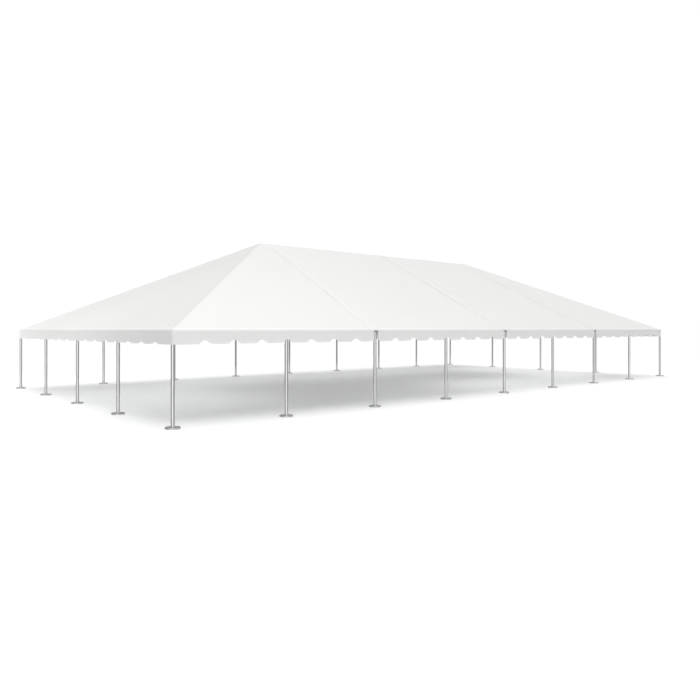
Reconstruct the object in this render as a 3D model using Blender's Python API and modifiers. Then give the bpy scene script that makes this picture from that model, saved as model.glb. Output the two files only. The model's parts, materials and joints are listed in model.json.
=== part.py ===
"""A frame tent of 40 ft by 80 ft: a hipped white canopy on an aluminium tube frame with 24 legs.

Metres, +Z up. The origin is the middle of the footprint on the ground, +X runs along the length and
+Y towards the back. Each tube is its own object, and a fitting is part of the rail, ridge or hip
that carries it.
"""

import math

import bmesh
import bpy
from mathutils import Vector

# Plan: legs stand every ten feet round the edge
FOOT = 0.3048
BAY = 10 * FOOT
LONG_BAYS = 8
SHORT_BAYS = 4
HALF_LENGTH = LONG_BAYS * BAY / 2
HALF_WIDTH = SHORT_BAYS * BAY / 2

# Heights and the ridge
EAVE_HEIGHT = 7 * FOOT
RIDGE_HEIGHT = 5.21
RIDGE_HALF = 5.80

# Tubes and fittings
TUBE_RADIUS = 0.038
SLEEVE_RADIUS = 0.042
LEG_RADIUS = 0.045
LEG_SPIGOT = 0.295
MEMBER_SOCKET = 0.20
SLEEVE_HALF = 0.15
SOCKET_TOP = 0.02
TUBE_SIDES = 8
SHARP_ANGLE = math.radians(60)
GAP = 0.0003

# Canopy: four scallops to a bay, and a seam at every second leg that ends a little along the ridge
SHEET = 0.006
VALANCE_DROP = 0.315
SCALLOP = BAY / 4
NOTCH_HALF = 0.13
NOTCH_HEIGHT = 0.085
NOTCH_STEPS = 6
COMB_SPACE = 0.01
SLIT_WIDTH = 0.11
SEAM_TOPS = {-2 * BAY: -5.40, 0: 0.40, 2 * BAY: 5.70}
CUTTER_REACH = 1.2

# Base plates and their collars, which are turned in one piece with the leg
PLATE_RADIUS = 0.17
PLATE_RIM = 0.029
PLATE_BEVEL = 0.004
PLATE_SHOULDER = 0.032
PLATE_CROWN = 0.036
COLLAR_RADIUS = 0.054
COLLAR_TOP = 0.080
COLLAR_BEVEL = 0.004
LEG_SIDES = 16

# Distances at which points merge, far under every real size
SCREW_MERGE = 0.00005
CAP_MERGE = 0.00001

# Worked out from the sizes above: the canopy's outer edge, and the frame's axes under the sheet
STANDOFF = SLEEVE_RADIUS + GAP + SHEET
EDGE_HALF_LENGTH = HALF_LENGTH + STANDOFF
EDGE_HALF_WIDTH = HALF_WIDTH + STANDOFF
RISE = RIDGE_HEIGHT - EAVE_HEIGHT
SIDE_PITCH = math.atan2(RISE, EDGE_HALF_WIDTH)
END_PITCH = math.atan2(RISE, EDGE_HALF_LENGTH - RIDGE_HALF)
VALANCE_BOTTOM = EAVE_HEIGHT - VALANCE_DROP


def eave_drop(depth):
    """How far below the eave line a line lies that is depth inside both the slope and the valance."""
    return depth * (1 / math.cos(END_PITCH) - math.tan(END_PITCH))


RAIL_Z = EAVE_HEIGHT - eave_drop(STANDOFF)
RIDGE_Z = RIDGE_HEIGHT - STANDOFF / math.cos(SIDE_PITCH)


def material(name, colour, roughness, metallic):
    made = bpy.data.materials.new(name)
    made.use_nodes = True
    shader = made.node_tree.nodes["Principled BSDF"]
    shader.inputs["Base Color"].default_value = (*colour, 1)
    shader.inputs["Roughness"].default_value = roughness
    shader.inputs["Metallic"].default_value = metallic
    return made


def start():
    for old in list(bpy.data.objects):
        bpy.data.objects.remove(old, do_unlink=True)
    collections = []
    for name in ("frame_tent", "cutters"):
        made = bpy.data.collections.new(name)
        bpy.context.scene.collection.children.link(made)
        collections.append(made)
    return collections


TENT, CUTTERS = start()
VINYL = material("canopy_vinyl", (0.90, 0.91, 0.90), 0.45, 0.0)
ALUMINIUM = material("aluminium_tube", (0.72, 0.73, 0.74), 0.28, 1.0)
LEG_METAL = material("leg_tube", (0.70, 0.71, 0.72), 0.22, 1.0)


def add_object(name, mesh, collection, finish=None):
    made = bpy.data.objects.new(name, mesh)
    collection.objects.link(made)
    if finish:
        mesh.materials.clear()
        mesh.materials.append(finish)
    return made


def as_helper(obj):
    """A cutter or a piece that a Boolean joins: the viewport shows it as wire and a render leaves it out."""
    obj.hide_render = True
    obj.display_type = "WIRE"
    return obj


def mesh_from(bm, name):
    bmesh.ops.recalc_face_normals(bm, faces=bm.faces)
    mesh = bpy.data.meshes.new(name)
    bm.to_mesh(mesh)
    bm.free()
    return mesh


def tube(name, start_point, end_point, radius, collection, finish=None):
    """A round bar between two points: its object stands at the middle and turns +Z along the bar."""
    run = end_point - start_point
    bm = bmesh.new()
    bmesh.ops.create_cone(
        bm,
        cap_ends=True,
        segments=TUBE_SIDES,
        radius1=radius,
        radius2=radius,
        depth=run.length,
    )
    made = add_object(name, mesh_from(bm, name), collection, finish)
    made.data.shade_smooth()
    made.data.set_sharp_from_angle(angle=SHARP_ANGLE)
    made.location = (start_point + end_point) / 2
    made.rotation_mode = "QUATERNION"
    made.rotation_quaternion = run.to_track_quat("Z", "Y")
    return made


def socket_mouths(lower, upper):
    """The ends of a tube between two joints, which stops at the mouths of the sockets it fits."""
    cut = (upper - lower).normalized() * (MEMBER_SOCKET + GAP)
    return lower + cut, upper - cut


def member(name, lower, upper):
    return tube(name, *socket_mouths(lower, upper), TUBE_RADIUS, TENT, ALUMINIUM)


def socket(joint, towards, length):
    """A sleeve that leaves a joint in the direction of another point."""
    return joint, joint + (towards - joint).normalized() * length


def fused(name, bar, sleeves):
    """A bar with its fittings: each sleeve is a helper, and one Boolean joins them all to the bar."""
    helpers = bpy.data.collections.new(name + "_fittings")
    CUTTERS.children.link(helpers)
    for number, (start_point, end_point) in enumerate(sleeves, 1):
        as_helper(tube(f"{name}_sleeve_{number}", start_point, end_point, SLEEVE_RADIUS, helpers))
    made = tube(name, *bar, TUBE_RADIUS, TENT, ALUMINIUM)
    join = made.modifiers.new("join fittings", "BOOLEAN")
    join.operation = "UNION"
    join.operand_type = "COLLECTION"
    join.collection = helpers
    join.solver = "EXACT"
    return made


# The joints of the frame, where tube axes meet


def eave_joint(x, y):
    return Vector((x, y, RAIL_Z))


def crown(x):
    """The point on the ridge's axis nearest to x. The ridge ends a little inside the third leg."""
    return Vector((max(-RIDGE_HALF, min(RIDGE_HALF, x)), 0, RIDGE_Z))


def hip_middle(side_x, side_y):
    return (eave_joint(side_x * HALF_LENGTH, side_y * HALF_WIDTH) + crown(side_x * HALF_LENGTH)) / 2


SIDES = {"front": -1, "back": 1}
ENDS = {"left": -1, "right": 1}
LONG_LEGS = [-HALF_LENGTH + BAY * n for n in range(LONG_BAYS + 1)]
SHORT_LEGS = [-HALF_WIDTH + BAY * n for n in range(1, SHORT_BAYS)]
FULL_RAFTERS = LONG_LEGS[2:-2]


def roof_target(x, y):
    """The joint that the rafter from the leg at x, y climbs to: a crown, or the middle of a hip."""
    if x in FULL_RAFTERS or y == 0:
        return crown(x)
    return hip_middle(math.copysign(1, x), math.copysign(1, y))


def leg_profile():
    """Radius and height down the outer side, from the tube's top to the middle of the base plate."""
    top = RAIL_Z - LEG_SPIGOT - GAP
    return [
        (0, top),
        (LEG_RADIUS, top),
        (LEG_RADIUS, COLLAR_TOP),
        (COLLAR_RADIUS - COLLAR_BEVEL, COLLAR_TOP),
        (COLLAR_RADIUS, COLLAR_TOP - COLLAR_BEVEL),
        (COLLAR_RADIUS, PLATE_CROWN),
        (PLATE_RADIUS - PLATE_BEVEL, PLATE_SHOULDER),
        (PLATE_RADIUS, PLATE_RIM),
        (PLATE_RADIUS, 0),
        (0, 0),
    ]


def leg_mesh():
    bm = bmesh.new()
    points = [bm.verts.new((radius, 0, height)) for radius, height in leg_profile()]
    for upper, lower in zip(points, points[1:]):
        bm.edges.new((upper, lower))
    mesh = bpy.data.meshes.new("leg")
    bm.to_mesh(mesh)
    bm.free()
    return mesh


def add_leg(name, mesh, x, y):
    leg = add_object(name, mesh, TENT, LEG_METAL)
    leg.location = (x, y, 0)
    turn = leg.modifiers.new("turn profile", "SCREW")
    turn.steps = LEG_SIDES
    turn.render_steps = LEG_SIDES
    turn.use_merge_vertices = True
    turn.merge_threshold = SCREW_MERGE
    return leg


def add_legs():
    mesh = leg_mesh()
    for side, y in SIDES.items():
        for number, x in enumerate(LONG_LEGS, 1):
            add_leg(f"{side}_leg_{number}", mesh, x, y * HALF_WIDTH)
    for end, x in ENDS.items():
        for number, y in enumerate(SHORT_LEGS, 1):
            add_leg(f"{end}_leg_{number}", mesh, x * HALF_LENGTH, y)


def eave_fitting(x, y, along):
    """The sleeves over one leg and the spigot that stands on it: along the rail, down and up the slope."""
    joint = eave_joint(x, y)
    before, after = joint - along * SLEEVE_HALF, joint + along * SLEEVE_HALF
    spigot = joint - Vector((0, 0, LEG_SPIGOT)), joint + Vector((0, 0, SOCKET_TOP))
    return [(before, after), spigot, socket(joint, roof_target(x, y), MEMBER_SOCKET)]


def corner_fitting(x, y):
    """The same at a corner leg: along both rails, down to the leg and up the hip."""
    joint = eave_joint(x, y)
    return [
        socket(joint, eave_joint(0, y), SLEEVE_HALF),
        socket(joint, eave_joint(x, 0), MEMBER_SOCKET),
        (joint - Vector((0, 0, LEG_SPIGOT)), joint + Vector((0, 0, SOCKET_TOP))),
        socket(joint, crown(x), MEMBER_SOCKET),
    ]


def add_rails():
    along_x, along_y = Vector((1, 0, 0)), Vector((0, 1, 0))
    for side, sign in SIDES.items():
        y = sign * HALF_WIDTH
        sleeves = corner_fitting(-HALF_LENGTH, y) + corner_fitting(HALF_LENGTH, y)
        for x in LONG_LEGS[1:-1]:
            sleeves += eave_fitting(x, y, along_x)
        ends = eave_joint(-HALF_LENGTH, y), eave_joint(HALF_LENGTH, y)
        fused(f"{side}_eave_rail", ends, sleeves)
    for end, sign in ENDS.items():
        x = sign * HALF_LENGTH
        sleeves = []
        for y in SHORT_LEGS:
            sleeves += eave_fitting(x, y, along_y)
        reach = HALF_WIDTH - MEMBER_SOCKET - GAP
        fused(f"{end}_eave_rail", (eave_joint(x, -reach), eave_joint(x, reach)), sleeves)


def add_ridge():
    sleeves = []
    for x in FULL_RAFTERS:
        top = crown(x)
        for sign in SIDES.values():
            sleeves.append(socket(top, eave_joint(x, sign * HALF_WIDTH), MEMBER_SOCKET))
        sleeves.append((crown(top.x - SLEEVE_HALF), crown(top.x + SLEEVE_HALF)))
    for sign in ENDS.values():
        top = crown(sign * HALF_LENGTH)
        for y in (-HALF_WIDTH, 0, HALF_WIDTH):
            sleeves.append(socket(top, eave_joint(sign * HALF_LENGTH, y), MEMBER_SOCKET))
    fused("ridge_beam", (crown(-RIDGE_HALF), crown(RIDGE_HALF)), sleeves)


def add_rafters():
    for side, sign in SIDES.items():
        for number, x in enumerate(FULL_RAFTERS, 1):
            foot = eave_joint(x, sign * HALF_WIDTH)
            member(f"{side}_rafter_{number}", foot, crown(x))
    for end, sign in ENDS.items():
        foot = eave_joint(sign * HALF_LENGTH, 0)
        member(f"{end}_end_rafter", foot, crown(foot.x))


def add_hips():
    """Each hip carries a fitting at its middle, where two jack rafters meet it."""
    for side, sign_y in SIDES.items():
        for end, sign_x in ENDS.items():
            foot = eave_joint(sign_x * HALF_LENGTH, sign_y * HALF_WIDTH)
            top = crown(foot.x)
            middle = hip_middle(sign_x, sign_y)
            along = (top - foot).normalized()
            side_foot = eave_joint(sign_x * (HALF_LENGTH - BAY), foot.y)
            end_foot = eave_joint(foot.x, sign_y * (HALF_WIDTH - BAY))
            sleeves = [
                (middle - along * SLEEVE_HALF, middle + along * SLEEVE_HALF),
                socket(middle, side_foot, MEMBER_SOCKET),
                socket(middle, end_foot, MEMBER_SOCKET),
            ]
            fused(f"{side}_{end}_hip", socket_mouths(foot, top), sleeves)
            member(f"{side}_jack_rafter_{end}", side_foot, middle)
            member(f"{end}_jack_rafter_{side}", end_foot, middle)


def canopy_sheet(name):
    """The whole canopy's outer face: a cube drawn in to the ridge and open below, with its eave let down."""
    bm = bmesh.new()
    bmesh.ops.create_cube(bm, size=2)
    bmesh.ops.delete(bm, geom=[f for f in bm.faces if f.normal.z < -0.5], context="FACES_ONLY")
    for v in bm.verts:
        if v.co.z > 0:
            v.co = (v.co.x * RIDGE_HALF, 0, RIDGE_HEIGHT)
        else:
            v.co = (v.co.x * EDGE_HALF_LENGTH, v.co.y * EDGE_HALF_WIDTH, EAVE_HEIGHT)
    bmesh.ops.remove_doubles(bm, verts=bm.verts, dist=CAP_MERGE)
    eave = [e for e in bm.edges if e.is_boundary]
    for v in bmesh.ops.extrude_edge_only(bm, edges=eave)["geom"]:
        if isinstance(v, bmesh.types.BMVert):
            v.co.z = VALANCE_BOTTOM
    canopy = add_object(name, mesh_from(bm, name), TENT, VINYL)
    shell = canopy.modifiers.new("sheet", "SOLIDIFY")
    shell.thickness = SHEET
    shell.offset = -1
    shell.solidify_mode = "NON_MANIFOLD"
    shell.nonmanifold_thickness_mode = "CONSTRAINTS"
    return canopy


def outline_solid(name, outline, depth, location=(0, 0, 0), rotation=(0, 0, 0)):
    """A flat outline extruded by depth to both sides of its plane, turned and placed, as a mesh helper."""
    curve = bpy.data.curves.new(name, "CURVE")
    curve.dimensions = "2D"
    curve.fill_mode = "BOTH"
    curve.extrude = depth
    line = curve.splines.new("POLY")
    line.points.add(len(outline) - 1)
    for point, (across, up) in zip(line.points, outline):
        point.co = (across, up, 0, 1)
    line.use_cyclic_u = True
    drawn = bpy.data.objects.new(name + "_outline", curve)
    CUTTERS.objects.link(drawn)
    drawn.location = location
    drawn.rotation_euler = rotation
    bpy.context.view_layer.update()
    graph = bpy.context.evaluated_depsgraph_get()
    mesh = bpy.data.meshes.new_from_object(drawn.evaluated_get(graph))
    made = as_helper(add_object(name, mesh, CUTTERS))
    made.matrix_world = drawn.matrix_world.copy()
    bpy.data.objects.remove(drawn)
    bm = bmesh.new()
    bm.from_mesh(mesh)
    bmesh.ops.remove_doubles(bm, verts=bm.verts, dist=CAP_MERGE)
    bmesh.ops.recalc_face_normals(bm, faces=bm.faces)
    bm.to_mesh(mesh)
    bm.free()
    return made


def notch_outline(centre):
    """One tooth of the comb: a cosine wave up from the hem and down again, with its feet under the hem."""
    points = [(centre - NOTCH_HALF, VALANCE_BOTTOM - COMB_SPACE)]
    for n in range(1, NOTCH_STEPS):
        share = 2 * n / NOTCH_STEPS - 1
        height = NOTCH_HEIGHT * (1 + math.cos(math.pi * share)) / 2
        points.append((centre + share * NOTCH_HALF, VALANCE_BOTTOM + height))
    points.append((centre + NOTCH_HALF, VALANCE_BOTTOM - COMB_SPACE))
    return points


def scallop_cutter(name, half_length, depth, turn):
    """A comb whose teeth are the notches between scallops. It runs across the tent under both hems."""
    count = round(2 * half_length / SCALLOP)
    outline = []
    for n in range(1, count):
        outline += notch_outline(-half_length + SCALLOP * n)
    back = VALANCE_BOTTOM - 2 * COMB_SPACE
    outline += [(outline[-1][0], back), (outline[0][0], back)]
    return outline_solid(name, outline, depth, rotation=(math.pi / 2, 0, turn))


def cut(obj, cutter, operation="DIFFERENCE"):
    modifier = obj.modifiers.new(operation.lower() + " " + cutter.name, "BOOLEAN")
    modifier.operation = operation
    modifier.object = cutter
    modifier.solver = "EXACT"


def seam_points(seam, shift):
    """Plan points of a seam, from past the front eave over the ridge to past the back one."""
    top = SEAM_TOPS[seam]
    eave = top + (seam - top) * CUTTER_REACH
    return [
        (eave + shift, -HALF_WIDTH * CUTTER_REACH),
        (top + shift, 0),
        (eave + shift, HALF_WIDTH * CUTTER_REACH),
    ]


def section_plan(name, left_seam, right_seam):
    """What one canopy section covers in plan, which leaves half of the gap at each of its seams."""
    outer_x, outer_y = HALF_LENGTH * CUTTER_REACH, HALF_WIDTH * CUTTER_REACH
    left = [(-outer_x, -outer_y), (-outer_x, outer_y)]
    right = [(outer_x, -outer_y), (outer_x, outer_y)]
    if left_seam is not None:
        left = seam_points(left_seam, GAP / 2)
    if right_seam is not None:
        right = seam_points(right_seam, -GAP / 2)
    return outline_solid(name, left + right[::-1], RIDGE_HEIGHT, location=(0, 0, RIDGE_HEIGHT / 2))


def slit_cutter(seam):
    """Parts the valances at a seam, so that the leg shows between them up to the eave."""
    bm = bmesh.new()
    bmesh.ops.create_cube(bm, size=1)
    made = as_helper(add_object(f"slit_{seam:+.0f}", mesh_from(bm, "slit"), CUTTERS))
    bottom, top = VALANCE_BOTTOM - VALANCE_DROP, EAVE_HEIGHT - 2 * SHEET
    made.scale = (SLIT_WIDTH, 2 * CUTTER_REACH * HALF_WIDTH, top - bottom)
    made.location = (seam, 0, (top + bottom) / 2)
    return made


def add_canopy():
    side_comb = scallop_cutter("side_scallops", HALF_LENGTH, CUTTER_REACH * HALF_WIDTH, 0)
    end_comb = scallop_cutter("end_scallops", HALF_WIDTH, CUTTER_REACH * HALF_LENGTH, math.pi / 2)
    slits = {seam: slit_cutter(seam) for seam in SEAM_TOPS}
    sections = {
        "left_end_canopy": (None, -2 * BAY),
        "left_middle_canopy": (-2 * BAY, 0),
        "right_middle_canopy": (0, 2 * BAY),
        "right_end_canopy": (2 * BAY, None),
    }
    for name, seams in sections.items():
        canopy = canopy_sheet(name)
        cut(canopy, section_plan(name + "_plan", *seams), "INTERSECT")
        cut(canopy, side_comb)
        if None in seams:
            cut(canopy, end_comb)
        for seam in seams:
            if seam is not None:
                cut(canopy, slits[seam])


add_legs()
add_rails()
add_ridge()
add_rafters()
add_hips()
add_canopy()
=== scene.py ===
import json
import math
import re

import bmesh
import bpy
import numpy as np
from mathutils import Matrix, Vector

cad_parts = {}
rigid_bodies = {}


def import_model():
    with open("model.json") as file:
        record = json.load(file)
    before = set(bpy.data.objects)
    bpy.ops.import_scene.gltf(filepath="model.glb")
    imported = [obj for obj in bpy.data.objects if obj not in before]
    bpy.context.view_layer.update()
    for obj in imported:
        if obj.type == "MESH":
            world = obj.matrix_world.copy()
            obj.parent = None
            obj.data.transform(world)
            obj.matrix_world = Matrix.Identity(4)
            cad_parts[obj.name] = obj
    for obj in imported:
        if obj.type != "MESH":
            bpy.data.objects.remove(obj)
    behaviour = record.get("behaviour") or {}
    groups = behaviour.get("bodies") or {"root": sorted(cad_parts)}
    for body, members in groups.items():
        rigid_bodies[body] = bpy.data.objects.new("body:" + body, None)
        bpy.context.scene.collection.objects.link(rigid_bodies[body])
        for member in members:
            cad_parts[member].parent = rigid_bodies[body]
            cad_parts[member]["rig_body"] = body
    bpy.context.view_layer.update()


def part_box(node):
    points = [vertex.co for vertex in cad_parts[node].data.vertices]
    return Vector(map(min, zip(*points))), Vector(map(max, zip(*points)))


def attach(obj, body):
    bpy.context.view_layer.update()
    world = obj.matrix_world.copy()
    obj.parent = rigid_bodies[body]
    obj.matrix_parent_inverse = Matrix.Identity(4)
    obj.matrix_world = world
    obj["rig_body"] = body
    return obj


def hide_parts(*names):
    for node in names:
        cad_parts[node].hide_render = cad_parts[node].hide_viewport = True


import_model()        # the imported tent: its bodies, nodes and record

scene = bpy.context.scene
up = np.array([0.0, 0.0, 1.0])
sharpEdge = math.radians(40)
sameSpot = 0.00001       # two points nearer than this are one
sides, ends = {"front": -1, "back": 1}, {"left": -1, "right": 1}


def tell(stage):
    print("tent:", stage)


def middleOf(node):
    low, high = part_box(node)
    return [(a + b) / 2 for a, b in zip(low, high)]


def placed(name, data, place=(0, 0, 0), turn=(0, 0, 0)):
    made = bpy.data.objects.new(name, data)
    scene.collection.objects.link(made)
    made.location, made.rotation_euler = place, turn
    return made


def nodeOf(name):
    # the CAD node whose place a piece takes, as left_leg_2 for leftLeg2
    return re.sub("(?<=[a-z])([A-Z0-9])", r"_\1", name.replace("Jack", "JackRafter")).lower()


# Sizes of the whole tent in metres; what the CAD model's boxes show is read from them.
cornerLeg, nextLeg = middleOf("front_leg_1"), middleOf("front_leg_2")
lengthHalf, widthHalf, bay = -cornerLeg[0], -cornerLeg[1], nextLeg[0] - cornerLeg[0]
tent = {
    "legTop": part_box("front_leg_1")[1].z,
    "eave": 2.1336,
    "ridge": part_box("left_end_canopy")[1].z,
    "hem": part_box("left_end_canopy")[0].z,
    "crown": 5.80,                               # the ridge runs between the two crowns, at -crown and +crown
    "standoff": 0.0483,                          # how deep the frame's axes lie under the sheet's outer face
    "seams": {-2: -5.40, 0: 0.40, 2: 5.70},      # a seam's bay mark at the eave, and its place on the ridge
}
crownX, standoff = tent["crown"], tent["standoff"]
sidePitch = math.atan2(tent["ridge"] - tent["eave"], widthHalf + standoff)
endPitch = math.atan2(tent["ridge"] - tent["eave"], lengthHalf + standoff - crownX)
railZ = tent["eave"] - standoff * (1 / math.cos(endPitch) - math.tan(endPitch))
ridgeZ = tent["ridge"] - standoff / math.cos(sidePitch)
longLegs = [-lengthHalf + bay * n for n in range(9)]
shortLegs = [-widthHalf + bay * n for n in (1, 2, 3)]
fullRafters = longLegs[2:-2]


def unit(v):
    v = np.asarray(v, float)
    return v / np.maximum(np.linalg.norm(v, axis=-1, keepdims=True), 1e-12)


def ringOf(axis, count):
    # unit vectors square to an axis, all round it: side*cos + (axis x side)*sin
    axis = unit(axis)
    side = unit(np.cross(axis, up if abs(axis[2]) < 0.9 else np.array([1.0, 0, 0])))
    angle = np.linspace(0, 2 * np.pi, count, endpoint=False)
    return np.outer(np.cos(angle), side) + np.outer(np.sin(angle), np.cross(axis, side))


def cornersOf(a):
    # what a grid holds at the four corners of each of its faces, in order round the face
    return np.stack([a[:-1, :-1], a[:-1, 1:], a[1:, 1:], a[1:, :-1]], axis=2)


class mould:
    # gathers grids of points, each a surface of two parameters, and makes one mesh object of them
    def __init__(self, name):
        self.name = name
        self.points, self.faces, self.laid, self.edge, self.finishes = [], [], [], [], []
        self.count = 0

    def add(self, grid, laid, around=False, finish=0, keep=None, edge=None):
        # grid is rows x columns x 3, and around closes its columns to a ring. laid is the UV of each
        # grid point, or of each face corner. edge is a second distance, and keep picks the faces.
        rows, columns = grid.shape[:2]
        index = self.count + np.arange(rows * columns).reshape(rows, columns)
        if around:
            index = np.hstack([index, index[:, :1]])
        quads = cornersOf(index)
        laid = cornersOf(laid) if laid.ndim == 3 else laid
        edge = np.zeros(quads.shape) if edge is None else cornersOf(edge)
        keep = np.ones(quads.shape[:2], bool) if keep is None else keep
        self.points.append(grid.reshape(-1, 3))
        self.faces.append(quads[keep])
        self.laid.append(laid[keep].reshape(-1, 2))
        self.edge.append(edge[keep].reshape(-1))
        self.finishes.append(np.full(int(keep.sum()), finish))
        self.count += rows * columns

    def make(self, materials, slot=None, thickness=0.0, outward=True, extra=False):
        # a sheet gets its thickness inwards from the grid, outward turns a closed shape's faces out, and an
        # extra piece takes no CAD node's place
        faces = np.concatenate(self.faces)
        used, faces = np.unique(faces, return_inverse=True)
        points = np.concatenate(self.points)[used]
        mesh = bpy.data.meshes.new(self.name)
        mesh.from_pydata(points.tolist(), [], faces.reshape(-1, 4).tolist())
        laid = np.concatenate(self.laid).astype(np.float32)
        mesh.uv_layers.new(name="laid").data.foreach_set("uv", laid.ravel())
        edge = np.concatenate(self.edge)
        if edge.any():
            pairs = np.stack([edge, np.zeros(len(edge))], axis=1).astype(np.float32)
            mesh.uv_layers.new(name="edge").data.foreach_set("uv", pairs.ravel())
        mesh.polygons.foreach_set("material_index", np.concatenate(self.finishes).astype(np.int32))
        for material in materials:
            mesh.materials.append(material)
        shape = bmesh.new()
        shape.from_mesh(mesh)
        bmesh.ops.remove_doubles(shape, verts=shape.verts, dist=sameSpot)
        if outward:
            bmesh.ops.recalc_face_normals(shape, faces=shape.faces)
        shape.to_mesh(mesh)
        shape.free()
        made = placed(self.name, mesh)
        if thickness:
            shell = made.modifiers.new("thickness", "SOLIDIFY")
            shell.thickness, shell.offset = thickness, -1
            bpy.context.view_layer.update()
            graph = bpy.context.evaluated_depsgraph_get()
            thick = bpy.data.meshes.new_from_object(made.evaluated_get(graph))
            made.modifiers.clear()
            made.data = thick
        made.data.shade_smooth()
        made.data.set_sharp_from_angle(angle=sharpEdge)
        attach(made, "root")
        if not extra:
            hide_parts(nodeOf(self.name))
        return made


def roundGrid(grid, along):
    # a grid closed to a ring, laid with u in turns and v a distance along it
    laid = np.stack(np.meshgrid(np.linspace(0, 1, grid.shape[1] + 1), along), axis=-1)
    return {"grid": grid, "laid": laid, "around": True}


def turned(foot, axis, profile, sides=32):
    # a profile of (distance, radius) turned round an axis: foot + distance*axis + radius*ring
    profile, axis, ring = np.asarray(profile, float), unit(axis), ringOf(axis, sides)
    grid = foot + profile[:, 0, None, None] * axis + profile[:, 1, None, None] * ring
    steps = np.linalg.norm(np.diff(profile, axis=0), axis=1)
    return roundGrid(grid, np.concatenate([[0], np.cumsum(steps)]))


def bead(path, normal, radius, sides=8):
    # a closed path thickened to a round bead: path + radius*(normal*cos + binormal*sin)
    tangent = unit(np.roll(path, -1, 0) - np.roll(path, 1, 0))
    normal = unit(normal - (normal * tangent).sum(1, keepdims=True) * tangent)
    binormal = np.cross(tangent, normal)
    angle = np.linspace(0, 2 * np.pi, sides, endpoint=False)[None, :, None]
    grid = path[:, None] + radius * (normal[:, None] * np.cos(angle) + binormal[:, None] * np.sin(angle))
    grid = np.concatenate([grid, grid[:1]])
    return roundGrid(grid, np.arange(len(grid)) * 0.004)          # near enough the path's own steps


# Materials


class wire:
    # an output socket of a node tree: arithmetic on it adds Math nodes, and node() makes any other node
    def __init__(self, tree, socket=None):
        self.tree, self.socket = tree, socket

    def node(self, kind, settings=None, sockets=None, out=0):
        made = self.tree.nodes.new(kind)
        for key, value in (settings or {}).items():
            setattr(made, key, value)
        for key, value in (sockets or {}).items():
            if isinstance(value, wire):
                self.tree.links.new(value.socket, made.inputs[key])
            else:
                made.inputs[key].default_value = value
        return wire(self.tree, made.outputs[out])

    def maths(self, operation, *others):
        return self.node("ShaderNodeMath", {"operation": operation}, dict(enumerate((self, *others))))

    def __add__(self, other):
        return self.maths("ADD", other)

    def __sub__(self, other):
        return self.maths("SUBTRACT", other)

    def __rsub__(self, other):
        return self.node("ShaderNodeMath", {"operation": "SUBTRACT"}, {0: other, 1: self})

    def __mul__(self, other):
        return self.maths("MULTIPLY", other)

    __radd__, __rmul__ = __add__, __mul__

    def eased(self, low, high):
        # 0 up to low, 1 from high, with a smooth step between them; low may lie above high
        turn = low > high
        sockets = {0: self, 1: min(low, high), 2: max(low, high), 3: float(turn), 4: float(not turn)}
        return self.node("ShaderNodeMapRange", {"interpolation_type": "SMOOTHSTEP"}, sockets)

    def gapTo(self, period, shift=0.0):
        # how far a value is from the nearest multiple of a period
        return (self + shift).maths("PINGPONG", period / 2)

    def part(self, number):
        return self.node("ShaderNodeSeparateXYZ", None, {0: self}, out=number)

    def vector(self, *parts):
        return self.node("ShaderNodeCombineXYZ", None, dict(enumerate(parts)))

    def noise(self, place, scale, detail=2.0, roughness=0.5):
        sockets = {"Vector": place, "Scale": scale, "Detail": detail, "Roughness": roughness}
        return self.node("ShaderNodeTexNoise", None, sockets, out="Fac")

    def blend(self, factor, first, second):
        sockets = {0: factor, 6: first, 7: second}
        return self.node("ShaderNodeMix", {"data_type": "RGBA"}, sockets, out=2)


def cleared(made):
    # a new material or world without nodes, and a wire to build them from
    made.use_nodes = True
    made.node_tree.nodes.clear()
    return made, wire(made.node_tree)


def newMaterial(name):
    return cleared(bpy.data.materials.new(name))


def uvParts(w, layer):
    place = w.node("ShaderNodeUVMap", {"uv_map": layer})
    return place.part(0), place.part(1)


def closeMaterial(w, surface, kind="ShaderNodeOutputMaterial"):
    output = w.tree.nodes.new(kind)
    w.tree.links.new(surface.socket, output.inputs["Surface"])


def bumped(w, height):
    return w.node("ShaderNodeBump", None, {"Strength": 1.0, "Distance": 1.0, "Height": height})


def closeMetal(w, colour, rough, height):
    sockets = {"Base Color": colour, "Metallic": 1.0, "Roughness": rough, "Normal": bumped(w, height)}
    closeMaterial(w, w.node("ShaderNodeBsdfPrincipled", None, sockets))


farPeriod = 1000.0            # with it, gapTo gives the distance from one place alone
vinylLook = {
    "white": (0.860, 0.864, 0.852, 1),
    "shaded": (0.815, 0.820, 0.812, 1),       # old water marks and handling
    "welded": (0.885, 0.888, 0.880, 1),       # two layers, so less shows through
    "webbingAndWeltHighlight": (0.925, 0.927, 0.922, 1),         # the webbing along the eave; on a flap, the same colour paints a highlight along the welt
    "stitch": (0.66, 0.66, 0.65, 1),
    "glow": (0.93, 0.93, 0.90, 1),
    "roughness": 0.50,
    "through": 0.16,                          # share of the light that a single face lets on
    "clouds": (0.35, 3.0),                    # each noise's scale, detail and roughness
    "runs": (1.0, 4.0, 0.6),
    "creases": (1.3, 4.0, 0.55),
    "fine": (38.0, 2.0),
    "weldEvery": bay / 2,
    "weldHalf": 0.014,
    "weldShare": 0.35,                        # how far a weld shows, next to the hem's full 1
    "bandMiddle": 0.055,                      # of the webbing, up the slope
    "bandHalf": 0.020,
    "hemTo": 0.0255,                          # from the cloth's edge, as the stitches and the welt's painted highlight are
    # how far from a flap's edge its painted highlight along the welt reaches
    "weltHighlightWidth": 0.050,
    "stitchRows": (0.0065, 0.0205),
    "stitchEvery": 0.0075,
    "thread": 0.0021,
    "raised": {"layer": 0.0005, "stitch": 0.0004, "weave": 0.000008, "crease": 0.0035, "fine": 0.00010},
}
# a flap's white is darker than the canopy's: painted shade, for the light that its two layers keep from
# shining through
flapVinylLook = {"white": (0.840, 0.841, 0.830, 1), "through": 0.10}


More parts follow.
